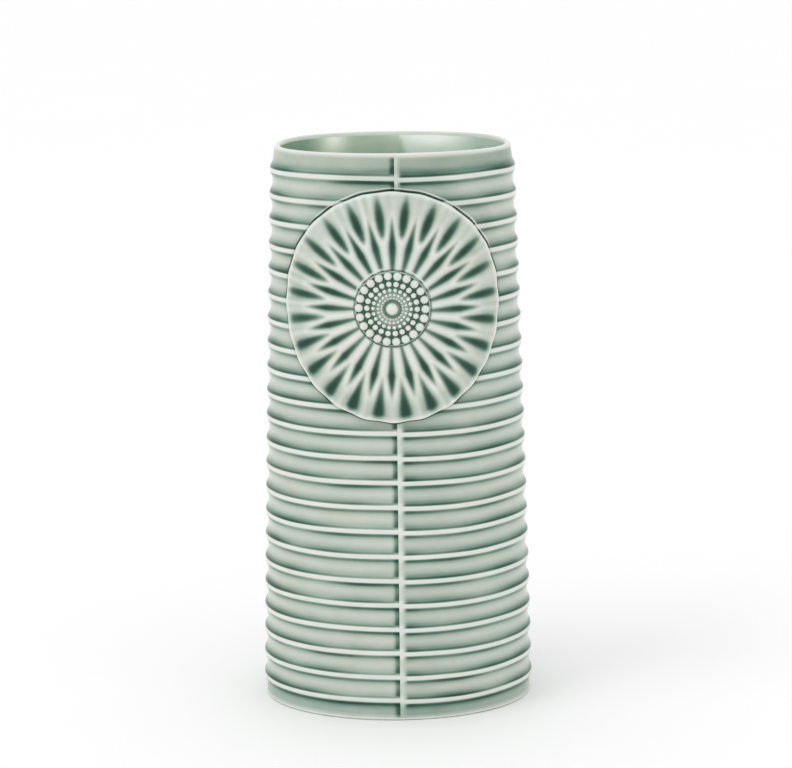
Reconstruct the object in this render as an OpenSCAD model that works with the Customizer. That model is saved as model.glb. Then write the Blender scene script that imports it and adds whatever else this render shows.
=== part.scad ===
// Oval stoneware vase: a ribbed slab wall with a lapped seam down the front, a floor slab inside
// its foot, and a pressed flower disc with a beaded button on the upper front.
// Frame: origin on the vase's axis at the level it stands on, +Z up, -Y the front.

/* [Body] */
// Height from the foot to the top of the lip
body_height = 231; // [220:1:250]
// Width over the rib crests, carried down to the foot
base_width = 112.6; // [106:0.2:124]
// Width over the rib crests, carried up to the lip
top_width = 97.6; // [94:0.2:106]
// How far the sides bulge beyond a straight taper at half height
belly = 0.4; // [0:0.1:1.5]
// Depth of the oval body as a share of its width
depth_ratio = 0.7; // [0.66:0.01:0.8]
// Thickness of the wall in the hollows between the ribs
wall_thickness = 3; // [2.6:0.1:4]
// Radius of the rounded edge of the lip
lip_round = 1.2; // [0.8:0.1:1.2]
// Radius of the rounded edge of the foot
foot_round = 0.9; // [0.5:0.1:1.2]

/* [Ribs] */
// Number of ribs from foot to lip
rib_count = 22; // [18:1:23]
// Height of the lowest rib's crest
low_rib_z = 8.6; // [6:0.1:10]
// Distance from the top rib's crest up to the lip
lip_band = 10.5; // [8:0.1:14]
// How far the crests stand out from the hollows
rib_relief = 1.1; // [0.6:0.1:1.4]
// Half the width of the flat land along a crest
rib_land = 0.8; // [0.5:0.1:1]
// How gently a rib's shoulders fall away, as a length
rib_shoulder = 1.75; // [1:0.05:2]

/* [Seam] */
// Distance of the seam's step to the right of the axis
seam_x = 0.5; // [0:0.1:3]
// Width of the raised lap beside the step
lap_width = 2; // [1:0.1:4]
// How far the lap stands out from the rib crests
lap_step = 0.2; // [0.1:0.05:0.6]
// How much of the hollows between the ribs the lap fills
lap_fill = 0.7; // [0:0.05:1]

/* [Floor] */
// Thickness of the floor slab
floor_thickness = 6; // [4:0.5:8]

/* [Flower disc] */
// Diameter of the disc, measured along its curved face
disc_diameter = 91.4; // [84:0.2:96]
// Height of the disc's centre
disc_z = 169.8; // [150:0.2:172]
// Distance of the disc's centre to the left of the axis
disc_left = 0.7; // [0:0.1:2]
// Thickness of the disc at the bottom of its hollows
plate_thickness = 1.5; // [1.2:0.1:2]
// How far the petals' ridges stand out from the hollows
petal_relief = 1.3; // [0.6:0.1:1.6]
// Number of petals
petal_count = 24; // [16:2:24]
// How far the outline swells at the end of each petal
petal_swell = 0.5; // [0:0.1:0.8]
// How far every petal's axis runs clockwise of the disc's centre
petal_swirl = 0.4; // [0:0.1:0.5]
// How far the petals' axes are aimed to the left of the disc's centre
petals_left = 0.3; // [0:0.1:0.5]
// How far the petals' axes are aimed below the disc's centre
petals_down = 0.8; // [0:0.1:1]

/* [Button] */
// Radius of the button at the centre of the flower
button_radius = 14.8; // [14.8:0.1:15.2]
// Width of the groove around the button
button_groove = 0.6; // [0.3:0.1:0.8]
// Thickness of the button
button_thickness = 1.9; // [1.5:0.1:2.5]

/* [Beads] */
// Number of beads in each ring
bead_count = 22; // [12:1:22]
// Number of rings of beads
ring_count = 5; // [1:1:5]
// Radius of the centres of the outer ring's beads
outer_ring_radius = 13; // [12.6:0.05:13]
// Radius of a bead of the outer ring
outer_bead_radius = 1.6; // [1.2:0.05:1.6]
// Each ring's radius as a share of the ring outside it
ring_shrink = 0.755; // [0.72:0.005:0.76]
// Each ring's bead radius as a share of the ring outside it
bead_shrink = 0.7; // [0.6:0.01:0.7]
// How many degrees clockwise the rings of beads are turned
bead_turn = 1.6; // [0:0.2:4]
// Distance of the rings' and the pearl's centre to the left of the button's centre
beads_left = 0.25; // [0:0.05:0.25]
// Radius of the pearl at the centre
pearl_radius = 2.55; // [1.6:0.05:2.6]
// Share of a bead's or the pearl's radius that is sunk below its seat
bead_sink = 0.3; // [0.3:0.05:0.5]

/* [Hidden] */
$fn = 180;

pale_glaze = [0.80, 0.83, 0.77];
mid_glaze = [0.66, 0.74, 0.67];
pooled_glaze = [0.36, 0.51, 0.44];
thin_glaze = [0.88, 0.90, 0.86];

rib_pitch = (body_height - lip_band - low_rib_z) / (rib_count - 1);
arc_step = 22.5;   // degrees between points on a rounded edge
bore_steps = 6;    // straight stretches that make up the bulged bore
side_step = 3;     // degrees between the corners of the floor slab
over = 1;          // how far a cutter runs past what it cuts
front = 100;       // further forward than any piece reaches
lap_gap = 0.1;     // room over the lap where the disc straddles it
lap_side_gap = 0.3; // and room beside it

// Half the width over the crests at height z
function crest_r(z) = base_width / 2 - (base_width - top_width) / 2 * z / body_height
    + 4 * belly * z / body_height * (1 - z / body_height);

// How far the surface lies inside the crests, at distance d from a crest
function rib_drop(d) =
    rib_relief * (1 - exp(-pow(max(abs(d) - rib_land, 0) / rib_shoulder, 2)));

// Half the width at the bottom of the hollows, and of the bore
function hollow_r(z) = crest_r(z) - rib_relief;
function bore_r(z) = hollow_r(z) - wall_thickness;
bore_ratio = (depth_ratio * hollow_r(body_height / 2) - wall_thickness) / bore_r(body_height / 2);

// The outer profile, from the foot's edge up to the lip. Each rib has a point at both edges of
// its land and at three places down each shoulder.
shoulder_shares = [0.34, 0.52, 0.74];
rib_offsets = concat([for (i = [2:-1:0]) -shoulder_shares[i] * rib_pitch / 2],
    [-rib_land, rib_land], [for (share = shoulder_shares) share * rib_pitch / 2]);
outer_profile = concat(
    [for (a = [-90:arc_step:0]) [hollow_r(0) - foot_round + foot_round * cos(a),
        foot_round + foot_round * sin(a)]],
    [for (i = [0:rib_count - 1], d = rib_offsets)
        let (z = low_rib_z + i * rib_pitch + d) [crest_r(z) - rib_drop(d), z]],
    [for (a = [0:arc_step:90]) [hollow_r(body_height) - lip_round + lip_round * cos(a),
        body_height - lip_round + lip_round * sin(a)]]);

// The seam's lap has shallower hollows, and runs from the foot to just below the lip's edge
lap_start = asin(seam_x / crest_r(0));
lap_turn = asin((seam_x + lap_width) / crest_r(0)) - lap_start;
lap_profile = concat([[bore_r(body_height) + over, foot_round]],
    [for (p = outer_profile) if (p[1] >= foot_round && p[1] <= body_height - lip_round)
        [p[0] + lap_fill * (crest_r(p[1]) - p[0]) + lap_step / depth_ratio, p[1]]],
    [[bore_r(body_height) + over, body_height - lip_round]]);

// The bore is straight around the floor slab, tapers above it and flares at the lip
bore_profile = concat([[0, -over], [bore_r(0), -over], [bore_r(0), floor_thickness]],
    [for (i = [0:bore_steps]) let (z = floor_thickness + over
        + i / bore_steps * (body_height - lip_round - floor_thickness - over)) [bore_r(z), z]],
    [for (a = [arc_step:arc_step:90]) [bore_r(body_height) + lip_round * (1 - cos(a)),
        body_height - lip_round + lip_round * sin(a)]],
    [[bore_r(body_height) + lip_round, body_height + over], [0, body_height + over]]);

// The disc lies on a plain tapering oval that touches the crests at the disc's height
disc_r = disc_diameter / 2;
taper = (base_width - top_width) / 2 / body_height
    - 4 * belly / body_height * (1 - 2 * disc_z / body_height);
function seat_r(z) = crest_r(disc_z) - taper * (z - disc_z);
disc_face = plate_thickness + petal_relief;
button_seat = button_radius + button_groove;
button_face = plate_thickness + button_thickness;

// The width that a length s along the curved face takes up, seen from the front
wrap_a = seat_r(disc_z) + disc_face / 2;
wrap_b = depth_ratio * seat_r(disc_z) + disc_face / 2;
wrap_samples = 16;
function wrap_speed(t) = sqrt(pow(wrap_a * cos(t), 2) + pow(wrap_b * sin(t), 2)) * PI / 180;
function sum(list, i = 0) = i < len(list) ? list[i] + sum(list, i + 1) : 0;
function wrap_length(t) =
    sum([for (i = [0.5:wrap_samples]) wrap_speed(t * i / wrap_samples)]) * t / wrap_samples;
function wrap_angle(s, t = 0, tries = 5) =
    tries == 0 ? t : wrap_angle(s, t + (s - wrap_length(t)) / wrap_speed(t), tries - 1);
function wrap_x(s) = wrap_a * sin(wrap_angle(s));

// A point at radius r and angle a clockwise from the top of the flower, seen from the front
function on_flower(r, a) = [wrap_x(r * sin(a)) - disc_left, disc_z + r * cos(a)];

// Radius and half width along a hollow, with the radii as shares of the disc's radius
inner_hollow = [[0.35, 0.7], [0.46, 1.1], [0.57, 1.5], [0.66, 0.95], [0.785, 0.1]];
outer_hollow = [[0.61, 0.1], [0.7, 1.1], [0.83, 1.6], [0.91, 1.8], [0.945, 1.1]];

// A solid oval whose surface stands out by t from the disc's seat on the crests
module stand_out(t) {
    low = disc_z - disc_r - 10;
    high = disc_z + disc_r + 10;
    ratio = (depth_ratio * seat_r(disc_z) + t) / (seat_r(disc_z) + t);
    scale([1, ratio, 1]) rotate_extrude()
        polygon([[0, low], [seat_r(low) + t, low], [seat_r(high) + t, high], [0, high]]);
}

// Extrudes an outline drawn as seen from the front, from the axis plane forwards
module forwards() {
    rotate([90, 0, 0]) linear_extrude(front) children();
}

// Everything in front of a level above the crests, inside an outline seen from the front
module in_front_of(t) {
    difference() {
        forwards() children();
        stand_out(t);
    }
}

// What lies between two such levels, inside an outline seen from the front
module layer(low_t, high_t) {
    intersection() {
        in_front_of(low_t) children();
        stand_out(high_t);
    }
}

module bore() {
    scale([1, bore_ratio, 1]) rotate_extrude() polygon(bore_profile);
}

module wall() {
    color(pale_glaze) difference() {
        scale([1, depth_ratio, 1]) union() {
            rotate_extrude() polygon(concat([[0, 0]], outer_profile, [[0, body_height]]));
            rotate_extrude(angle = lap_turn, start = lap_start - 90) polygon(lap_profile);
        }
        bore();
    }
}

module floor_slab() {
    color(mid_glaze) linear_extrude(floor_thickness)
        polygon([for (a = [0:side_step:359]) bore_r(0) * [cos(a), bore_ratio * sin(a)]]);
}

// A point of the flower at radius r, a distance aside clockwise of the axis of the petal at angle a
function beside_petal(r, a, aside) =
    on_flower(r, a + asin((aside + petal_swirl - petals_left * cos(a) + petals_down * sin(a)) / r));

// One hollow of the flower: an outline between two radii, along the petal axis at angle a
module hollow(shape, a) {
    polygon(concat(
        [for (p = shape) beside_petal(p[0] * disc_r, a, p[1])],
        [for (i = [len(shape) - 1:-1:0]) beside_petal(shape[i][0] * disc_r, a, -shape[i][1])]));
}

module disc_outline() {
    polygon([for (a = [0:90 / petal_count:359.9])
        on_flower(disc_r - petal_swell * (1 - cos(a * petal_count)) / 2, a)]);
}

module button_outline(r) {
    polygon([for (a = [0:6:354]) on_flower(r, a)]);
}

module flower_disc() {
    turn = 360 / petal_count;
    color(pale_glaze) difference() {
        layer(0, disc_face) disc_outline();
        in_front_of(plate_thickness) {
            button_outline(button_seat);
            for (i = [0:petal_count - 1]) {
                hollow(inner_hollow, i * turn);
                hollow(outer_hollow, (i + 0.5) * turn);
            }
        }
        intersection() {
            stand_out(lap_step + lap_gap);
            forwards() translate([seam_x + lap_width / 2, disc_z])
                square([lap_width + 2 * lap_side_gap, disc_diameter + 2 * over], center = true);
        }
    }
}

module centre_button() {
    color(pooled_glaze) layer(plate_thickness, button_face) button_outline(button_radius);
}

// A bead of radius r that stands square on the button, at radius ring_r and angle a in the rings
module bead(r, ring_r, a) {
    p = on_flower(ring_r, a) - [beads_left, 0];
    half_width = seat_r(p[1]) + button_face;
    half_depth = half_width * (depth_ratio * seat_r(disc_z) + button_face)
        / (seat_r(disc_z) + button_face);
    y = half_depth * sqrt(1 - pow(p[0] / half_width, 2));
    lean = atan(depth_ratio * taper);
    turn = atan(p[0] / pow(half_width, 2) / (y / pow(half_depth, 2)));
    translate([p[0], -y, p[1]]) rotate([-lean, 0, turn]) difference() {
        translate([0, bead_sink * r, 0]) sphere(r);
        translate([-2 * r, 0, -2 * r]) cube(4 * r);
    }
}

module bead_ring(i) {
    color(thin_glaze) for (k = [0.5:bead_count])
        bead(outer_bead_radius * pow(bead_shrink, i - 1),
            outer_ring_radius * pow(ring_shrink, i - 1), bead_turn + k * 360 / bead_count);
}

module centre_pearl() {
    color(thin_glaze) bead(pearl_radius, 0, 0);
}

wall();
floor_slab();
flower_disc();
centre_button();
for (i = [1:ring_count])
    bead_ring(i);
centre_pearl();
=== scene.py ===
"""Looks of the oval stoneware vase: the ribbed wall with its lapped seam, the floor slab, the flower
disc, the button, its beads and the pearl, each under a celadon glaze that runs thin and pale on the
edges and pools dark in the hollows. The pieces' lengths are in mm here and go to metres as each mesh
is made. The studio and the camera are in metres."""

import math

import bpy
import numpy as np
from mathutils import Matrix, Vector


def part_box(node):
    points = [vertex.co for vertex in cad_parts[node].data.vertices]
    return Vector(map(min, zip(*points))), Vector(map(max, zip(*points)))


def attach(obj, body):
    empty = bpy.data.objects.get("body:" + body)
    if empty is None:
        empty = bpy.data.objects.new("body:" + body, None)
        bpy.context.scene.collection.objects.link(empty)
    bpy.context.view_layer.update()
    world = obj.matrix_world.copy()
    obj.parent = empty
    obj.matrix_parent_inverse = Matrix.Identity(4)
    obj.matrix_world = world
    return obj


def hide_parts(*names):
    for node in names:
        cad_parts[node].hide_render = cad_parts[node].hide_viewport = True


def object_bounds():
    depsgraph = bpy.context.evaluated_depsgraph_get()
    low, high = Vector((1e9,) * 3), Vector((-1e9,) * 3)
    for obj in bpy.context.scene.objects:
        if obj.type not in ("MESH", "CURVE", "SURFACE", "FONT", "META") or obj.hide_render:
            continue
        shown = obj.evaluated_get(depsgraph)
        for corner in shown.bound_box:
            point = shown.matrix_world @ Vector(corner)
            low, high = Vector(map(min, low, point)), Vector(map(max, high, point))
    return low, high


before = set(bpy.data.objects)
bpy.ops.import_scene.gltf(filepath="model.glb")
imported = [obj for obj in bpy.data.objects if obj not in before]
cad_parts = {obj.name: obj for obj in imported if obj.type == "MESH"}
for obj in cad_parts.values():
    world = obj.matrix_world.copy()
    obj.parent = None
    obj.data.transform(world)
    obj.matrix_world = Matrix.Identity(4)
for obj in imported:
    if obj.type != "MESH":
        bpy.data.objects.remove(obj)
cad_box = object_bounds()

MM = 0.001
TURN = 2 * math.pi
rng = np.random.default_rng(22)

# The CAD's driving sizes
BODY_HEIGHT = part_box("wall")[1].z / MM
BASE_WIDTH, TOP_WIDTH, BELLY, DEPTH_RATIO = 112.6, 97.6, 0.4, 0.7
WALL_THICKNESS, LIP_ROUND, FOOT_ROUND = 3.0, 1.2, 0.9
RIB_COUNT, LOW_RIB_Z, LIP_BAND = 22, 8.6, 10.5
RIB_RELIEF, RIB_LAND, RIB_SHOULDER = 1.1, 0.8, 1.75
RIB_PITCH = (BODY_HEIGHT - LIP_BAND - LOW_RIB_Z) / (RIB_COUNT - 1)
SEAM_X = 0.5
FLOOR_LOW, FLOOR_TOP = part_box("floor_slab")[0].z / MM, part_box("floor_slab")[1].z / MM
DISC_LOW, DISC_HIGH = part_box("flower_disc")
DISC_Z = (DISC_LOW.z + DISC_HIGH.z) / 2 / MM
DISC_LEFT = -(DISC_LOW.x + DISC_HIGH.x) / 2 / MM
DISC_R = (DISC_HIGH.z - DISC_LOW.z) / 2 / MM
PLATE, PETAL_RELIEF, PETALS, PETAL_SWELL = 1.5, 1.3, 24, 0.5
DISC_FACE = PLATE + PETAL_RELIEF
PETAL_SWIRL, PETALS_LEFT, PETALS_DOWN = 0.4, 0.3, 0.8
BUTTON_R, BUTTON_THICKNESS = 14.8, 1.9
BUTTON_FACE = PLATE + BUTTON_THICKNESS
BEADS, BEAD_RINGS, RING_R, BEAD_R = 22, 5, 13.0, 1.6
RING_SHRINK, BEAD_SHRINK, PEARL_R = 0.755, 0.7, 2.55
BEAD_TURN, BEADS_LEFT = math.radians(1.6), 0.25

# Handmade unevenness, which only the visual model has
LIP_DIP = 1.3  # how far the lip dips over the front half
SLAB_SAG = 0.5  # how far the right end of the wall's slab sags at the seam
LIP_IN = 0.35  # how far the wall draws in under the lip
SCALLOP_TOP = 0.5  # the share of the scallops' depth that the top of the flower has


def smooth(low, high, x):
    """0 below low, 1 above high and a smooth rise between them. It falls if low is above high."""
    t = np.clip((np.asarray(x, float) - low) / (high - low), 0, 1)
    return t * t * (3 - 2 * t)


def crest_r(z):
    """Half the width over the rib crests at height z."""
    z = np.clip(z, 0, BODY_HEIGHT)
    share = z / BODY_HEIGHT
    return BASE_WIDTH / 2 - (BASE_WIDTH - TOP_WIDTH) / 2 * share + 4 * BELLY * share * (1 - share)


def hollow_r(z):
    return crest_r(z) - RIB_RELIEF


def bore_r(z):
    return hollow_r(z) - WALL_THICKNESS


HALF_WAY = BODY_HEIGHT / 2
BORE_RATIO = (DEPTH_RATIO * hollow_r(HALF_WAY) - WALL_THICKNESS) / bore_r(HALF_WAY)

# The curved, tapering face that the flower lies on. wrap_s is the length along it up to wrap_t.
TAPER = (BASE_WIDTH - TOP_WIDTH) / 2 / BODY_HEIGHT - 4 * BELLY / BODY_HEIGHT * (
    1 - 2 * DISC_Z / BODY_HEIGHT)
SEAT = float(crest_r(DISC_Z))
WRAP_A, WRAP_B = SEAT + DISC_FACE / 2, DEPTH_RATIO * SEAT + DISC_FACE / 2
wrap_t = np.linspace(-1.4, 1.4, 2801)
wrap_speed = np.hypot(WRAP_A * np.cos(wrap_t), WRAP_B * np.sin(wrap_t))
wrap_s = np.concatenate([[0], np.cumsum((wrap_speed[1:] + wrap_speed[:-1]) / 2)])
wrap_s = wrap_s * (wrap_t[1] - wrap_t[0])
wrap_s -= wrap_s[len(wrap_s) // 2]
WRAP_MIDDLE = slice(180, -180)  # the part that faces the front


def wrap_x(s):
    """The width, seen from the front, that a length s along the curved face takes up."""
    return WRAP_A * np.sin(np.interp(s, wrap_s, wrap_t))


def outline_r(a):
    """The disc's radius at angle a, clockwise from the top."""
    swell = PETAL_SWELL * (SCALLOP_TOP + (1 - SCALLOP_TOP) * smooth(0.85, -0.3, np.cos(a)))
    return DISC_R - swell * (1 - np.cos(PETALS * a)) / 2


def flower_coordinates(x, z):
    """Radius and angle on the flower of what is seen from the front at x, z."""
    across = np.clip((x + DISC_LEFT) / WRAP_A, -0.98, 0.98)
    s = np.interp(across, np.sin(wrap_t[WRAP_MIDDLE]), wrap_s[WRAP_MIDDLE])
    up = z - DISC_Z
    return np.hypot(s, up), np.arctan2(s, up)


def on_flower(r, a, level, left=0):
    """Points at radius r and angle a on the flower, standing out by level from the rib crests."""
    x = wrap_x(r * np.sin(a)) - DISC_LEFT - left
    z = DISC_Z + r * np.cos(a)
    half_width = SEAT - TAPER * (z - DISC_Z) + level
    ratio = (DEPTH_RATIO * SEAT + level) / (SEAT + level)
    y = -ratio * half_width * np.sqrt(1 - (x / half_width) ** 2)
    return np.stack([x, y, z], -1)


def waves(angle, amplitude, count=4, first=1):
    """A smooth closed wave round the angle, different at each call."""
    total = np.zeros_like(angle, dtype=float)
    for k in range(first, first + count):
        total += rng.normal() * np.sin(k * angle + rng.uniform(0, TURN)) / math.sqrt(count)
    return amplitude * total


# Meshes

BOX_INSET = 2e-6  # metres, so that no rounding takes a point past the CAD box


def grid_faces(rows, columns, closed_rows, offset=0):
    """Quads of a grid of vertices that is closed round its columns."""
    r = np.arange(rows if closed_rows else rows - 1)
    c = np.arange(columns)
    r, c = np.meshgrid(r, c, indexing="ij")
    up, across = (r + 1) % rows, (c + 1) % columns
    corners = [r * columns + c, r * columns + across, up * columns + across, up * columns + c]
    return np.stack(corners, -1).reshape(-1, 4) + offset


def cap_faces(rows, columns, offset=0):
    """The two faces that close the first and the last row of such a grid."""
    first, last = np.arange(columns) + offset, np.arange(columns) + offset + (rows - 1) * columns
    return [first[None, ::-1], last[None]]


def mesh_piece(name, points, faces, attributes, material, node):
    """A smooth-shaded piece from points in mm, riding on the body and standing for a CAD node."""
    low, high = np.array(cad_box[0]) + BOX_INSET, np.array(cad_box[1]) - BOX_INSET
    points = np.clip(points.reshape(-1, 3) * MM, low, high)
    mesh = bpy.data.meshes.new(name)
    mesh.from_pydata(points.tolist(), [], [f for part in faces for f in part.tolist()])
    for key, values in attributes.items():
        layer = mesh.attributes.new(key, "FLOAT", "POINT")
        layer.data.foreach_set("value", np.asarray(values, np.float32).ravel())
    mesh.polygons.foreach_set("use_smooth", np.ones(len(mesh.polygons), bool))
    mesh.materials.append(material)
    mesh.update()
    piece = bpy.data.objects.new(name, mesh)
    bpy.context.scene.collection.objects.link(piece)
    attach(piece, "root")
    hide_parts(node)
    return piece


# Materials


def linear(red, green, blue):
    """A linear colour from 0 to 255 sRGB values."""
    values = [v / 255 for v in (red, green, blue)]
    return tuple(v / 12.92 if v <= 0.04045 else ((v + 0.055) / 1.055) ** 2.4
                 for v in values) + (1,)


class Shader:
    """A material's node tree and short ways to add to it."""

    def __init__(self, name):
        self.material = bpy.data.materials.new(name)
        self.material.use_nodes = True
        self.tree = self.material.node_tree
        self.tree.nodes.clear()

    def add(self, kind, inputs=None, **settings):
        node = self.tree.nodes.new("ShaderNode" + kind)
        for key, value in settings.items():
            setattr(node, key, value)
        for key, value in (inputs or {}).items():
            if isinstance(value, bpy.types.NodeSocket):
                self.tree.links.new(value, node.inputs[key])
            else:
                node.inputs[key].default_value = value
        return node

    def math(self, operation, *values, clamp=False):
        inputs = dict(enumerate(values))
        return self.add("Math", inputs, operation=operation, use_clamp=clamp).outputs[0]

    def scaled(self, value, factor, more):
        """value * factor + more."""
        return self.math("MULTIPLY_ADD", value, factor, more)

    def mix(self, share, a, b, **settings):
        inputs = {"Factor": share, "A": a, "B": b}
        return self.add("Mix", inputs, data_type="RGBA", **settings).outputs["Result"]

    def attribute(self, name):
        return self.add("Attribute", attribute_name=name).outputs["Fac"]

    def noise(self, scale, detail=2.0, stretch=(1, 1, 1)):
        """Noise about 0, from -0.5 to 0.5, with features of about scale mm."""
        place = self.add("TexCoord").outputs["Object"]
        size = [1000 / scale * s for s in stretch]
        moved = self.add("Mapping", {"Vector": place, "Scale": size}).outputs[0]
        inputs = {"Vector": moved, "Scale": 1.0, "Detail": detail}
        return self.math("SUBTRACT", self.add("TexNoise", inputs).outputs[0], 0.5)

    def curve(self, value, points):
        node = self.add("FloatCurve", {"Value": value})
        line = node.mapping.curves[0]
        line.points[0].location, line.points[1].location = points[0], points[-1]
        for x, y in points[1:-1]:
            line.points.new(x, y)
        node.mapping.update()
        return node.outputs[0]

    def ramp(self, value, stops):
        node = self.add("ValToRGB", {"Fac": value})
        ramp = node.color_ramp
        while len(ramp.elements) < len(stops):
            ramp.elements.new(0.5)
        for element, (place, colour) in zip(ramp.elements, stops):
            element.position, element.color = place, colour
        return node.outputs[0]


# The glaze's colour by its thickness, from bare edges to the deepest pools
GLAZE = [(0.0, (226, 229, 223)), (0.2, (199, 206, 195)), (0.4, (165, 180, 167)),
         (0.6, (116, 141, 127)), (0.75, (79, 109, 95)), (0.9, (52, 84, 72)), (1.0, (40, 71, 61))]
GLOSS, COLOUR_GAIN = 0.022, 0.98  # what the gloss adds to a colour, and what the light leaves of it
DARKEST = 0.004
COOL, WARM = (0.97, 1.0, 1.03, 1), (1.04, 0.998, 0.972, 1)  # how the glaze's tint wanders
GREEN = (1.035, 1.0, 0.93, 1)  # and where it leans inside the mouth,
GREEN_FROM = 0.8  # which is where the points' warm value is below minus this
CLAY = [(0.3, linear(150, 143, 130)), (0.7, linear(186, 180, 168))]
MOTTLE = 0.10  # how far the thickness wanders, in fine streaks and in broad patches
ROUGHNESS, ROUGHNESS_WANDER, CLAY_ROUGHER = 0.22, 0.08, 0.6
LONG, LONGER = (0.5, 0.5, 1), (0.3, 0.3, 1)  # stretch noise into streaks that run round the wall


def under_gloss(colour):
    """The base colour that looks like the given one under the gloss and the studio's light."""
    return tuple(max(c - GLOSS, DARKEST) * COLOUR_GAIN for c in linear(*colour)[:3]) + (1,)


def glaze_material(name, thickness_of, bare=None):
    """Glaze over clay. thickness_of(shader) gives the glaze's thickness, which in places also paints
    shade and highlights, and bare(shader), where there is one, how far the clay is left unglazed."""
    s = Shader(name)
    streaks = s.noise(3.0, 3, LONGER)
    mottle = s.scaled(s.noise(14, 3), MOTTLE, s.math("MULTIPLY", streaks, MOTTLE))
    thickness = s.math("ADD", thickness_of(s), mottle, clamp=True)
    colour = s.ramp(thickness, [(place, under_gloss(colour)) for place, colour in GLAZE])
    leaning = s.math("ADD", s.attribute("warm"), 0.5)
    tint = s.math("MULTIPLY_ADD", s.noise(16, 3, LONG), 2.2, leaning, clamp=True)
    cool = s.math("MULTIPLY", s.attribute("warm"), -1.0)
    inside = s.math("SUBTRACT", cool, GREEN_FROM, clamp=True)
    tint = s.mix(inside, s.mix(tint, COOL, WARM), GREEN)
    colour = s.mix(1.0, colour, tint, blend_type="MULTIPLY")
    roughness = s.scaled(s.noise(5, 3), ROUGHNESS_WANDER, ROUGHNESS)
    height = s.scaled(s.noise(1.6, 2), 0.6, s.math("MULTIPLY", s.noise(7, 2), 1.6))
    if bare:
        share = bare(s)
        grain = s.noise(0.7, 4)
        colour = s.mix(share, colour, s.ramp(s.math("ADD", grain, 0.5), CLAY))
        roughness = s.scaled(share, CLAY_ROUGHER, roughness)
        height = s.scaled(s.math("MULTIPLY", grain, share), 2.0, height)
    bump = s.add("Bump", {"Height": height, "Strength": 0.35, "Distance": 0.00002})
    shader = s.add("BsdfPrincipled", {
        "Base Color": colour, "Roughness": roughness, "IOR": 1.5, "Specular IOR Level": 0.3,
        "Coat Weight": 0.2, "Coat Roughness": 0.06, "Normal": bump.outputs[0]})
    s.add("OutputMaterial", {"Surface": shader.outputs[0]})
    return s.material


def pooled(s):
    """Thickness held on the mesh's points."""
    return s.attribute("glaze")


# Thickness by the place between two crests, 0 on the lower one and 1 on the upper. The line below a
# crest is pooled glaze and painted shadow under it.
ABOVE_CREST = [(0, 0), (0.04, 0.0), (0.06, 0.2), (0.08, 0.5), (0.115, 0.69), (0.15, 0.62),
               (0.2, 0.45), (0.26, 0.29), (0.33, 0.16), (0.42, 0.07), (0.5, 0.02), (0.6, 0.0),
               (1, 0.0)]
BELOW_CREST = [(0, 0), (0.5, 0.0), (0.58, 0.04), (0.65, 0.11), (0.71, 0.22), (0.76, 0.4),
               (0.81, 0.6), (0.85, 0.62), (0.885, 0.32), (0.915, 0.07), (0.935, 0.0), (1, 0.0)]
# Thickness by the distance from the disc's outline, as a share of DISC_REACH: a dark line of pooled
# glaze and painted contact shadow against the disc, and a painted highlight a little beyond it
DISC_REACH = 10.0
DISC_SHADE = [(0, 1), (0.02, 0.95), (0.05, 0.5), (0.08, 0.15), (0.2, 0.04), (0.5, 0.0), (1, 0.0)]
DISC_PAINTED_HIGHLIGHT = [(0, 0), (0.045, 0.0), (0.07, 0.8), (0.09, 1.0), (0.11, 0.7), (0.14, 0.0), (1, 0.0)]


def ribbed(s):
    """The wall's thickness: a pool above each crest; a line below the next, pooled glaze with
    painted shadow under the crest; a dark line round the disc, pooled glaze with painted contact
    shadow; a painted highlight beyond the disc's top; and what the points hold."""
    waver = s.noise(9, 2, (0.4, 0.4, 1))
    turns = s.math("FRACT", s.scaled(waver, 0.03, s.attribute("turns")))
    above, below = s.curve(turns, ABOVE_CREST), s.curve(turns, BELOW_CREST)
    total = s.scaled(below, s.attribute("below"), s.attribute("glaze"))
    total = s.scaled(above, s.attribute("above"), total)
    for line, strength in ((DISC_SHADE, "shade"), (DISC_PAINTED_HIGHLIGHT, "painted_highlight_line")):
        away = s.math("DIVIDE", s.attribute("off_disc"), DISC_REACH, clamp=True)
        total = s.scaled(s.curve(away, line), s.attribute(strength), total)
    return total


def unglazed(s):
    return s.attribute("bare")


wall_glaze = glaze_material("wall_glaze", ribbed, unglazed)
pool_glaze = glaze_material("pool_glaze", pooled)
floor_glaze = glaze_material("floor_glaze", pooled, unglazed)

# The wall

# What its points hold, and the value where a row doesn't say
WALL_VALUES = {
    "turns": 0.0,  # height in rib pitches above the lowest rib
    "above": 0.0,  # strength of the pool above each crest
    "below": 0.0,  # strength of the line below each crest: pooled glaze and painted shadow under the crest
    "glaze": 0.0,  # thickness apart from those
    "bare": 0.0,  # 1 where the clay is unglazed
    "shade": 0.0,  # strength of the dark line round the disc: pooled glaze and painted contact shadow
    "off_disc": 60.0,  # distance from the disc's outline, as seen from the front
    "painted_highlight_line": 0.0,  # strength of the painted highlight beside the top of the disc, below 0 so that it lightens the colour
    "warm": 0.0,  # above 0 for a warm tint, below 0 for a cool one, below -0.8 for a green one
}
# Distances from the seam at which points stand closer together than in the rest of the wall
SEAM_RIGHT = np.array([0.0, 0.1, 0.22, 0.4, 0.62, 0.9, 1.25, 1.6, 1.95, 2.3, 2.7, 3.2, 3.9, 4.9,
                       6.2])
SEAM_LEFT = np.array([5.6, 4.2, 3.2, 2.4, 1.8, 1.3, 0.9, 0.6, 0.35, 0.15])
WALL_COLUMNS = 214  # points in the rest of each row
RIB_OFFSETS = [-4.6, -3.4, -2.5, -1.8, -1.3, -0.85, -0.3, 0.3, 0.85, 1.3, 1.8, 2.5, 3.4, 4.6]
CROWN = 0.1  # how far a crest's edges lie below its middle
LAP_FILL, LAP_PROUD = 0.82, 0.16  # how far the lap fills the hollows, and stands past the crests
PAST_SHOULDER = 9  # an offset from a crest at which its shoulder has ended


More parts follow.
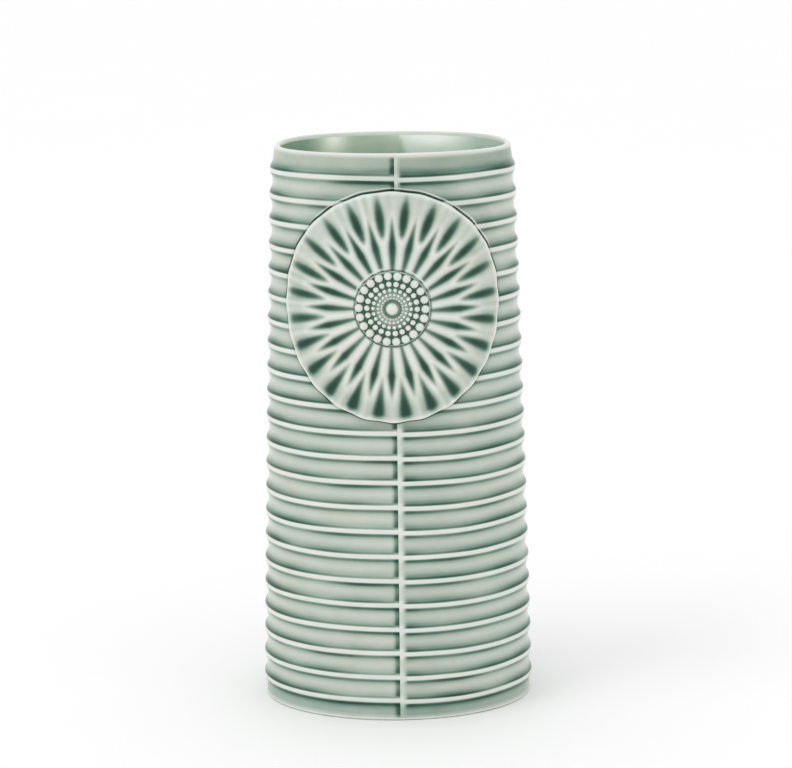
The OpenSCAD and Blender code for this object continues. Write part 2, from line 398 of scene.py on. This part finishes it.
def build_wall():
    reach = float(crest_r(0))
    rest = np.linspace(SEAM_RIGHT[-1] / reach, TURN - SEAM_LEFT[0] / reach, WALL_COLUMNS + 2)
    from_seam = np.concatenate([SEAM_RIGHT / reach, rest[1:-1], TURN - SEAM_LEFT / reach])
    angle = from_seam + math.asin(SEAM_X / reach)  # from the front, to the right
    columns = len(angle)
    # mm right of the seam, and masks that depend on it
    beside = np.where(from_seam > math.pi, from_seam - TURN, from_seam) * reach
    on_right = beside > 0.05
    lap = np.where(on_right, smooth(3.3, 0.7, beside), 0)
    lap_edge = np.where(on_right, smooth(0.0, 0.35, beside), 0)
    off_lap = np.where(on_right, smooth(1.0, 3.7, beside), 1.0)
    near_left = np.where(on_right, 0, smooth(-2.9, -0.7, beside))
    near_right = np.where(on_right, smooth(12, 3, beside), 0)
    right_face = np.where(on_right, smooth(36, 12, beside), 0)
    left_face = np.where(on_right, 0, smooth(-42, -20, beside))
    # Masks by angle
    side = np.sin(angle) ** 2
    front = np.cos(angle) > 0
    back = smooth(0.35, 0.0, np.cos(angle))
    # How far the slab, the lip and each rib stray in height, and the strength of the ribs' pools
    droop = np.where(on_right, -SLAB_SAG * smooth(60, 25, beside), 0)
    lip_dip = LIP_DIP * smooth(-0.7, 0.45, np.cos(angle))
    wander = [waves(angle, 0.12, 5) for _ in range(RIB_COUNT + 2)]
    wander[1] = wander[1] + 0.3  # the lowest rib sits a little high
    strength = [1 + waves(angle, 0.13, 10, 2) for _ in range(RIB_COUNT + 2)]

    rows, held = [], []

    def add_row(radius, ratio, z, **values):
        """A row of points round the oval, and what they hold."""
        x = radius * np.sin(angle)
        y = -ratio * radius * np.cos(angle)
        z = np.broadcast_to(z, (columns,)).astype(float)
        rows.append(np.stack([x, y, z], -1))
        held.append([np.broadcast_to(values.get(key, usual), (columns,)).astype(float)
                     for key, usual in WALL_VALUES.items()])

    def outer_row(z, off_crest, thin=0.0):
        """A row of the outside at height z, off_crest above the middle of a rib's crest."""
        share = (z - LOW_RIB_Z) / RIB_PITCH
        k = int(np.clip(math.floor(share) + 1, 0, RIB_COUNT))
        between = share - math.floor(share)
        fade = smooth(0.0, 3.0, z) * smooth(BODY_HEIGHT - 0.6, BODY_HEIGHT - 2.2, z)
        stray = wander[k] * (1 - between) + wander[min(k + 1, RIB_COUNT + 1)] * between + droop
        shift = stray * fade - lip_dip * smooth(BODY_HEIGHT - 9, BODY_HEIGHT - 1.5, z)

        # Shape
        past_land = max(abs(off_crest) - RIB_LAND, 0)
        drop = RIB_RELIEF * (1 - math.exp(-(past_land / RIB_SHOULDER) ** 2))
        crown = -CROWN * min(abs(off_crest) / RIB_LAND, 1) ** 2
        lap_here = lap * fade
        inset = drop * (1 - LAP_FILL * lap_here) - LAP_PROUD * lap_here * lap_edge
        radius = crest_r(z) - inset + crown - thin

        # Where the row lies: in a hollow, in the band under the lip or in the one above the foot
        in_hollow = float(smooth(0.15, 0.8, drop / RIB_RELIEF))
        off_land = float(smooth(0.02, 0.3, drop / RIB_RELIEF))
        low_end = float(smooth(0.7, 0.25, between))  # the lower end of a hollow
        under_top_rib = smooth(RIB_COUNT - 0.95, RIB_COUNT - 1.05, share) * smooth(1.5, 3.5, z)
        top_band = float(smooth(RIB_COUNT - 0.95, RIB_COUNT - 0.75, share))
        foot_band = float(smooth(1.2, 2.8, z) * smooth(8.6, 6.6, z))

        # Glaze, with painted shadow in the line below each crest
        above = smooth(2.0, 4.0, z) * off_lap * strength[k] * (
            0.94 + 0.33 * side + 0.2 * near_right + 0.1 * right_face - 0.13 * left_face)
        above = above * (1 - 0.3 * top_band) * (1 - 0.15 * near_left)
        below = under_top_rib * off_lap * strength[k] * (1.1 - 0.3 * side + 0.15 * near_right)
        lip_pool = 0.2 * smooth(0.2, 2.2, BODY_HEIGHT - z) + 0.07 * np.sin(angle)
        glaze = 0.03 + 0.175 * in_hollow + top_band * lip_pool
        glaze = glaze + 0.19 * foot_band + 0.05 * in_hollow * right_face
        glaze = glaze + (0.36 + 0.14 * low_end) * off_land * near_left * fade
        glaze = glaze + lap_here * (0.02 - 0.12 * in_hollow) - 0.15 * top_band * lap_here
        warm = 0.8 * top_band * smooth(6.5, 4.5, BODY_HEIGHT - z) - 0.5 * foot_band

        # The lines round the disc: pooled glaze with painted contact shadow, and a painted highlight
        # beyond its top
        r, a = flower_coordinates(radius * np.sin(angle), z + shift)
        hidden = 0.6 * smooth(0.2, 0.9, -np.cos(a))  # what its lower edge hides from in front
        off_disc = np.where(front, r - outline_r(a) - hidden, WALL_VALUES["off_disc"])
        # A painted highlight on the wall just outside the disc's upper edge
        span = smooth(-0.9, -0.5, a) * smooth(1.25, 0.8, a)
        painted_highlight_line = -0.9 * span * (0.75 + waves(angle, 0.2, 12, 8))
        add_row(radius, DEPTH_RATIO, z + shift, turns=share, above=above, below=below, glaze=glaze,
                shade=0.25 + 0.45 * in_hollow, off_disc=off_disc, painted_highlight_line=painted_highlight_line, warm=warm)

    # Foot: a rounded edge from the underside up to the hollow below the lowest rib
    for step in np.linspace(0, math.pi / 2, 6):
        z = FOOT_ROUND * (1 - math.cos(step))
        radius = hollow_r(0) - FOOT_ROUND * (1 - math.sin(step))
        turns = (z - LOW_RIB_Z) / RIB_PITCH
        add_row(radius, DEPTH_RATIO, z, turns=turns, bare=smooth(0.6, 0.25, z))
    for z in (1.3, 2.0, 2.9):
        outer_row(z, z - LOW_RIB_Z)
    for i in range(RIB_COUNT):
        for off_crest in RIB_OFFSETS:
            outer_row(LOW_RIB_Z + i * RIB_PITCH + off_crest, off_crest)
    for below_lip in (4.8, 3.9, 3.0, 2.2, 1.6):
        thin = LIP_IN * float(smooth(6.0, 1.2, below_lip))
        outer_row(BODY_HEIGHT - below_lip, PAST_SHOULDER, thin)
    lip_shape = np.linspace(0, math.pi / 2, 7)
    for step in lip_shape:  # the lip's outer edge
        z = BODY_HEIGHT - LIP_ROUND * (1 - math.sin(step)) - lip_dip
        radius = hollow_r(BODY_HEIGHT) - (LIP_IN + CROWN) - LIP_ROUND * (1 - math.cos(step))
        glaze = 0.2 * (1 - math.sin(step)) ** 1.5
        add_row(radius, DEPTH_RATIO, z, turns=RIB_COUNT - 0.1, glaze=glaze)
    for step in lip_shape[1:]:  # and its inner edge
        z = BODY_HEIGHT - LIP_ROUND * (1 - math.cos(step)) - lip_dip
        radius = bore_r(BODY_HEIGHT) + LIP_ROUND * (1 - math.sin(step))
        glaze = 0.02 + 0.24 * math.sin(step) ** 2
        add_row(radius, BORE_RATIO, z, turns=RIB_COUNT, glaze=glaze)

    # Inside: darker to the left of a slanting line down the back, with two painted highlights under
    # the lip
    near_lip = [1.7, 2.4, 3.2, 4.2, 5.4, 7, 9, 11.5, 14.5, 18, 23]
    for depth in np.concatenate([near_lip, np.linspace(29, BODY_HEIGHT - 12, 24)]):
        z = BODY_HEIGHT - depth
        radius = bore_r(z) + waves(angle, 0.05, 3)
        x = radius * np.sin(angle)
        blur = 0.4 + 0.15 * depth
        left = 0.5 + back * (smooth(2.9 + blur, 2.9 - blur, x - 0.32 * depth) - 0.5)
        glaze = 0.24 + 0.10 * smooth(0, 12, depth) + 0.20 * left
        glaze = glaze + 0.14 * smooth(-26, -40, x) + 0.3 * smooth(40, 8, z)
        glaze = glaze + 0.05 * smooth(0, 6, x) + 0.13 * smooth(24, 38, x)
        # pale: the two painted highlights, also kept clear of the green tint
        pale = 0.44 * np.exp(-((x + 24) / 5) ** 2) * smooth(12, 1, depth)
        pale = pale + 0.42 * np.exp(-((x - 16) / 13) ** 2) * smooth(9, 0, depth)
        add_row(radius, BORE_RATIO, z - lip_dip * smooth(8, 1.5, depth), glaze=glaze - pale * back,
                warm=-1.2 - 0.6 * left + 1.5 * pale * back)
    for z in (9.0, FLOOR_TOP, 3.0, 0.0):
        radius = bore_r(z if z > FLOOR_TOP else 0)
        add_row(radius, BORE_RATIO, z, glaze=0.6, bare=float(z <= 3))
    attributes = dict(zip(WALL_VALUES, np.array(held).transpose(1, 0, 2)))
    faces = grid_faces(len(rows), columns, True)
    mesh_piece("wall_body", np.array(rows), [faces], attributes, wall_glaze, "wall")


# The floor slab, with glaze pooled up against the wall

FLOOR_GAP = 0.03  # between the slab and the wall
FLOOR_COLUMNS = 160
CORNER = 0.93  # the share of the slab's width at which the glaze starts to climb to the wall


def build_floor():
    angle = np.linspace(0, TURN, FLOOR_COLUMNS, endpoint=False)
    half = float(bore_r(0)) - FLOOR_GAP
    rows, glaze, bare = [], [], []

    def add_row(share, z, thickness, without_glaze):
        x = half * share * np.sin(angle)
        y = -BORE_RATIO * half * share * np.cos(angle)
        rows.append(np.stack([x, y, z], -1))
        glaze.append(thickness)
        bare.append(np.full(FLOOR_COLUMNS, without_glaze))

    for share in np.concatenate([np.linspace(0.04, 0.9, 16), [0.94, 0.965, 0.985, 1.0]]):  # the top
        rise = 0.25 * share ** 2 + 1.6 * max(0, (share - CORNER) / (1 - CORNER)) ** 2
        height = FLOOR_TOP - 0.15 + rise + waves(angle, 0.05, 3)
        pool = 0.3 * math.sin(math.pi * min(share, 1)) ** 2 * (share > 0.6)
        add_row(share, height, 0.55 + pool + waves(angle, 0.04, 4), 0.0)
    for share, z in ((1.0, FLOOR_TOP - 1), (1.0, FLOOR_LOW + 0.8), (0.985, FLOOR_LOW + 0.1),
                     (0.95, FLOOR_LOW), (0.7, FLOOR_LOW), (0.4, FLOOR_LOW), (0.04, FLOOR_LOW)):
        uneven = waves(angle, 0.03, 5) if share < 0.9 else np.zeros(FLOOR_COLUMNS)
        add_row(share, z + np.maximum(uneven, 0), np.full(FLOOR_COLUMNS, 0.2), 1.0)
    size = len(rows), FLOOR_COLUMNS
    faces = [grid_faces(*size, False)] + cap_faces(*size)
    attributes = {"glaze": np.array(glaze), "bare": np.array(bare)}
    mesh_piece("floor_plate", np.array(rows), faces, attributes, floor_glaze, "floor_slab")


# The flower disc

# Along the axes of the hollows: radius, then half width and the glaze's thickness, each at the top
# of the flower and at its bottom. The darker outer hollows at the bottom are glaze pooled low and
# painted shade, where their lower ends are hidden from the light above.
INNER = [(15.5, 0.80, 0.50, 0.58, 0.50), (18, 0.95, 0.75, 0.70, 0.55), (21, 1.20, 0.95, 0.78, 0.64),
         (24, 1.35, 1.15, 0.88, 0.76), (27, 1.05, 1.40, 0.80, 0.94), (30, 0.80, 1.10, 0.64, 0.80),
         (33, 0.65, 0.80, 0.46, 0.56), (37, 0.35, 0.40, 0.0, 0.0)]
OUTER = [(26.5, 0.50, 0.40, 0.0, 0.0), (29, 1.00, 0.60, 0.64, 0.20), (32, 1.45, 0.90, 0.83, 0.52),
         (35, 1.65, 1.20, 0.90, 0.70), (38, 1.50, 1.60, 0.84, 0.84), (41, 1.15, 2.10, 0.60, 0.94),
         (43, 0.85, 2.30, 0.34, 0.94), (44.8, 0.50, 1.70, 0.12, 0.25)]
HOLLOW_DEPTH = 1.6  # mm of clay for each unit of thickness in the tables
HOLLOW_POOL = 1.15  # how much thicker the glaze is in a hollow's middle than they say
DISC_RIM, EDGE_ROUND = 44.9, 0.5  # where the face ends, and the edge's rounding beyond it
FACE_FALL = 0.10  # how far the face falls towards its rim
DISC_BACK = -1.3  # how far the disc reaches in past the crests, so that no gap shows
PETAL_COLUMNS = 24  # points round the disc for each petal


def hollow(shape, r, aside, low):
    """The clay's depth in mm and the glaze's thickness, at a distance aside from a hollow's axis.
    low is 0 at the top of the flower and 1 at its bottom."""
    radius, wide_top, wide_bottom, thick_top, thick_bottom = np.array(shape).T
    along = [np.interp(r, radius, v) for v in (wide_top, wide_bottom, thick_top, thick_bottom)]
    wide = along[0] * (1 - low) + along[1] * low
    thick = along[2] * (1 - low) + along[3] * low
    core, skirt = 1 - smooth(0.2, 1.6, aside / wide), 1 - smooth(0.5, 2.7, aside / wide)
    across = 0.68 * core + 0.32 * skirt
    return HOLLOW_DEPTH * (along[2] + along[3]) / 2 * across ** 0.8, HOLLOW_POOL * thick * across


def flower_relief(r, a):
    """Depth of the clay's hollows in mm and the glaze's thickness, at radius r and angle a."""
    step = TURN / PETALS
    aim = PETAL_SWIRL - PETALS_LEFT * np.cos(a) + PETALS_DOWN * np.sin(a)
    turn = np.mod(a - aim / r + step / 2, step) - step / 2
    low = (1 - np.cos(a)) / 2
    inner, inner_glaze = hollow(INNER, r, np.abs(turn) * r, low)
    outer, outer_glaze = hollow(OUTER, r, (step / 2 - np.abs(turn)) * r, low)
    return np.maximum(inner, outer), np.maximum(inner_glaze, outer_glaze)


def build_disc():
    columns = PETALS * PETAL_COLUMNS
    angle = np.linspace(0, TURN, columns, endpoint=False)
    a, r = np.meshgrid(angle, np.concatenate([[14.9, 15.15], np.linspace(15.4, DISC_RIM, 98)]))
    shape_r = r + waves(a, 0.12, 9, 3)
    r = r + (outline_r(a) - DISC_R) * smooth(30, DISC_RIM, r)
    depth, glaze = flower_relief(shape_r, a)
    uneven = 1 + waves(a, 0.05, 20, 6)
    for field in (depth, glaze):
        field *= uneven
        field[:] = (np.roll(field, 1, 1) + 2 * field + np.roll(field, -1, 1)) / 4
        field[1:-1] = (field[:-2] + 2 * field[1:-1] + field[2:]) / 4
    ends = smooth(33, 40, r) * smooth(45.4, 43.6, r)  # the broad ends of the petals
    streaks = waves(a, 0.05, 40, 50) * smooth(24, 38, r)
    glaze = glaze + (0.02 + 0.19 * ends + streaks) * (1 - np.clip(glaze, 0, 1))
    # The groove round the button, darker towards the bottom, and a painted highlight in two arcs
    # along its outer edge, at the upper left and upper right
    groove = 0.36 + 0.26 * smooth(-0.3, 0.7, -np.cos(a))
    glaze = np.maximum(glaze, groove * smooth(15.9, 15.2, r))
    turned = np.mod(a + math.pi, TURN) - math.pi
    painted_highlight_arcs = smooth(-1.35, -0.9, turned) * smooth(-0.1, -0.4, turned)
    painted_highlight_arcs = painted_highlight_arcs + smooth(0.25, 0.5, turned) * smooth(1.2, 0.9, turned)
    glaze -= 0.9 * painted_highlight_arcs * np.exp(-((r - 15.7) / 0.35) ** 2)
    level = DISC_FACE - 0.04 - depth + 0.25 * np.clip(glaze, 0, 1)
    level = np.minimum(level, DISC_FACE - 0.02)
    level = level - FACE_FALL * smooth(39, 45, r) - 0.35 * smooth(15.6, 15.05, r)
    rows, thick = [on_flower(r, a, level)], [glaze]

    def ring(radius, stand, amount):
        radius = np.broadcast_to(radius, angle.shape)
        rows.append(on_flower(radius, angle, np.full(columns, stand))[None])
        thick.append(np.full((1, columns), amount))

    edge = outline_r(angle)
    for step in np.linspace(0, math.pi / 2, 5)[1:]:  # the rounded edge
        radius = edge - EDGE_ROUND + EDGE_ROUND * math.sin(step)
        ring(radius, DISC_FACE - FACE_FALL - EDGE_ROUND * (1 - math.cos(step)), 0.0)
    # The side, darker towards the wall: pooled glaze and painted contact shadow
    for inward, stand, amount in ((0, 1.7, 0.2), (0, 0.9, 0.6), (0.1, 0.3, 0.9), (0.5, -0.4, 1.0),
                                  (1.4, DISC_BACK, 1.0)):
        ring(edge - inward, stand, amount)
    for radius, stand in ((30.0, DISC_BACK), (14.0, DISC_BACK), (14.0, 1.0)):
        ring(radius, stand, 1.0)
    points = np.concatenate(rows)
    faces = grid_faces(len(points), columns, True)
    mesh_piece("flower_relief", points, [faces], {"glaze": np.concatenate(thick)}, pool_glaze,
               "flower_disc")


# The button, its beads and the pearl

BUTTON_COLUMNS = BEADS * 12
MOAT_R = 3.2  # the ring of thick glaze round the pearl
BEAD_SINK = 0.12  # how far the beads' feet lie below the button's face
BEAD_FLARE = 0.10  # how far they spread at the foot
DOME_ANGLE = 112  # how far a bead's surface goes, in degrees from its top


def bead_layout(ring):
    """Radius on the flower, bead radius and angles of a ring's beads."""
    angles = (np.arange(BEADS) + 0.5) * TURN / BEADS + BEAD_TURN
    return RING_R * RING_SHRINK ** ring, BEAD_R * BEAD_SHRINK ** ring, angles


def build_button():
    angle = np.linspace(0, TURN, BUTTON_COLUMNS, endpoint=False)
    edge = [14.05, 14.2, 14.35, 14.5, 14.62, 14.72, 14.78, BUTTON_R]
    a, r = np.meshgrid(angle, np.concatenate([np.linspace(0.3, 13.9, 60), edge]))
    moat = np.exp(-((r - MOAT_R) / 0.6) ** 2)
    ripple = np.zeros_like(r)  # the face swells under each ring of beads
    for ring in range(BEAD_RINGS):
        ring_r, bead_r, _ = bead_layout(ring)
        ripple += np.exp(-((r - ring_r) / (bead_r * 1.1)) ** 2)
    level = BUTTON_FACE - 0.16 - 0.16 * moat + 0.12 * ripple
    level = level - 0.45 * smooth(14.35, BUTTON_R, r) ** 1.5
    glaze = 0.50 + 0.36 * smooth(4.5, 10.0, r) + 0.20 * moat - 0.10 * ripple * smooth(9, 5, r)
    glaze -= 0.5 * smooth(14.2, 14.5, r)
    rows, thick = [on_flower(r, a, level)], [glaze]
    for radius, stand, amount in ((BUTTON_R, 2.6, 0.3), (14.75, 2.1, 0.9), (14.7, 1.5, 1.0),
                                  (10.0, 1.45, 1.0), (0.3, 1.45, 1.0)):  # the side and the back
        stands = np.full(BUTTON_COLUMNS, stand)
        rows.append(on_flower(np.full(BUTTON_COLUMNS, radius), angle, stands)[None])
        thick.append(np.full((1, BUTTON_COLUMNS), amount))
    points = np.concatenate(rows)
    size = len(points), BUTTON_COLUMNS
    faces = [grid_faces(*size, False)] + cap_faces(*size)
    mesh_piece("button_face", points, faces, {"glaze": np.concatenate(thick)}, pool_glaze,
               "centre_button")


def domes(name, node, places, rings, columns):
    """Domed beads on the button. places has each one's radius on the flower, angle and size."""
    points, glaze, faces, count = [], [], [], 0
    around = np.linspace(0, TURN, columns, endpoint=False)

    def seat(r, a):
        return on_flower(np.array(r), np.array(a), np.array(BUTTON_FACE - BEAD_SINK), BEADS_LEFT)

    for ring_r, a, bead_r in places:
        centre = seat(ring_r, a)
        up = seat(ring_r + 0.05, a) - centre
        up = up / np.linalg.norm(up)
        across = seat(ring_r, a + 1e-4) - centre if ring_r > 0 else np.array([1.0, 0, 0])
        across = across - up * (across @ up)
        across = across / np.linalg.norm(across)
        out = np.cross(across, up)
        if out[1] > 0:
            out = -out
        circle = np.outer(np.cos(around), across) + np.outer(np.sin(around), up)
        for t in np.linspace(0.12, 1.0, rings) * math.radians(DOME_ANGLE):
            flare = 1 + BEAD_FLARE * float(smooth(70, DOME_ANGLE, math.degrees(t)))
            ring = bead_r * math.sin(t) * flare * 1.03
            rise = bead_r * (math.cos(t) - 0.3) + BEAD_SINK
            points.append(centre + ring * circle + rise * out)
            foot = float(smooth(0.62, 0.0, rise / bead_r))
            glaze.append(np.full(columns, 0.03 + 0.55 * foot ** 2.2))
        faces.append(grid_faces(rings, columns, False, count))
        faces.extend(cap_faces(rings, columns, count))
        count += rings * columns
    attributes = {"glaze": np.concatenate(glaze)}
    mesh_piece(name, np.concatenate(points), faces, attributes, pool_glaze, node)


def build_beads():
    for ring in range(BEAD_RINGS):
        ring_r, bead_r, angles = bead_layout(ring)
        size = 1.04 if ring else 1.08
        jitter = rng.normal(size=(BEADS, 3)) * [0.03, 0.002, 0.02]  # radius, angle and size
        places = [(ring_r + j[0], t + j[1], bead_r * (size + j[2])) for t, j in zip(angles, jitter)]
        domes(f"beads_{ring + 1}", f"bead_ring_{ring + 1}", places, 12 - ring, 28 - 3 * ring)
    domes("pearl", "centre_pearl", [(0.0, 0.0, PEARL_R)], 18, 40)


build_wall()
build_floor()
build_disc()
build_button()
build_beads()

# The studio: a pale floor under soft white light from all round, a little stronger from the left

SKY, GROUND, GROUND_WANDER = 0.97, 0.95, 0.01
SUN_STRENGTH, SUN_WIDTH, SUN_TOWARDS = 0.3, math.radians(25), (0.62, 0.30, -1.0)
# Name, place, target, width, height and watts. The last two fill the inside of the mouth.
SOFT_BOXES = [
    ("left_box", (-0.9, -0.75, 0.75), (0, 0, 0.14), 0.5, 0.8, 1.0),
    ("right_box", (1.0, -0.6, 0.7), (0, 0, 0.14), 0.4, 0.8, 0.45),
    ("mouth_left", (-0.02, -0.012, 0.195), (-0.024, 0.027, 0.229), 0.012, 0.012, 0.008),
    ("mouth_right", (0.016, -0.012, 0.185), (0.017, 0.028, 0.229), 0.024, 0.012, 0.02),
]


def add_lamp(light, direction, place=(0, 0, 0)):
    lamp = bpy.data.objects.new(light.name, light)
    lamp.location = place
    lamp.rotation_euler = Vector(direction).to_track_quat("-Z", "Y").to_euler()
    bpy.context.scene.collection.objects.link(lamp)
    return lamp


def build_studio():
    scene = bpy.context.scene
    scene.view_settings.view_transform = "Standard"
    scene.world = bpy.data.worlds.new("studio")
    scene.world.use_nodes = True
    sky = scene.world.node_tree.nodes["Background"]
    sky.inputs["Color"].default_value = (1, 1, 1, 1)
    sky.inputs["Strength"].default_value = SKY

    ground = Shader("studio_floor")
    tone = ground.scaled(ground.noise(300, 2), GROUND_WANDER, GROUND)
    colour = ground.add("CombineColor", {0: tone, 1: tone, 2: tone}).outputs[0]
    matte = ground.add("BsdfPrincipled", {"Base Color": colour, "Roughness": 0.9,
                                          "Specular IOR Level": 0.1})
    ground.add("OutputMaterial", {"Surface": matte.outputs[0]})
    mesh = bpy.data.meshes.new("studio_floor")
    corners = [(-15, -6, 0), (15, -6, 0), (15, 25, 0), (-15, 25, 0)]
    mesh.from_pydata(corners, [], [(0, 1, 2, 3)])
    mesh.materials.append(ground.material)
    floor = bpy.data.objects.new("studio_floor", mesh)
    scene.collection.objects.link(floor)

    sun = bpy.data.lights.new("key", "SUN")
    sun.energy, sun.angle = SUN_STRENGTH, SUN_WIDTH
    add_lamp(sun, SUN_TOWARDS)
    for name, place, target, width, height, watts in SOFT_BOXES:
        light = bpy.data.lights.new(name, "AREA")
        light.shape, light.size, light.size_y, light.energy = "RECTANGLE", width, height, watts
        lamp = add_lamp(light, Vector(target) - Vector(place), place)
        lamp.visible_camera = lamp.visible_glossy = False


# The camera: its place, the angles it is turned by, and its lens and sensor in mm
CAMERA_PLACE = (-0.00263, -0.9395, 0.3418)
PAN, TILT, ROLL = 0.0032, 0.2206, -0.0115
LENS, SENSOR = 106.995, 36
CLIP_END = 100


def build_camera():
    flat = math.cos(TILT)
    forward = Vector((math.sin(PAN) * flat, math.cos(PAN) * flat, -math.sin(TILT)))
    level = Vector((math.cos(PAN), -math.sin(PAN), 0))
    up = level.cross(forward)
    right = level * math.cos(ROLL) + up * math.sin(ROLL)
    up = up * math.cos(ROLL) - level * math.sin(ROLL)
    lens = bpy.data.cameras.new("camera")
    lens.lens, lens.sensor_width, lens.clip_end = LENS, SENSOR, CLIP_END
    camera = bpy.data.objects.new("camera", lens)
    turned = Matrix((right, up, -forward)).transposed().to_4x4()
    camera.matrix_world = Matrix.Translation(CAMERA_PLACE) @ turned
    bpy.context.scene.collection.objects.link(camera)
    bpy.context.scene.camera = camera


build_studio()
build_camera()
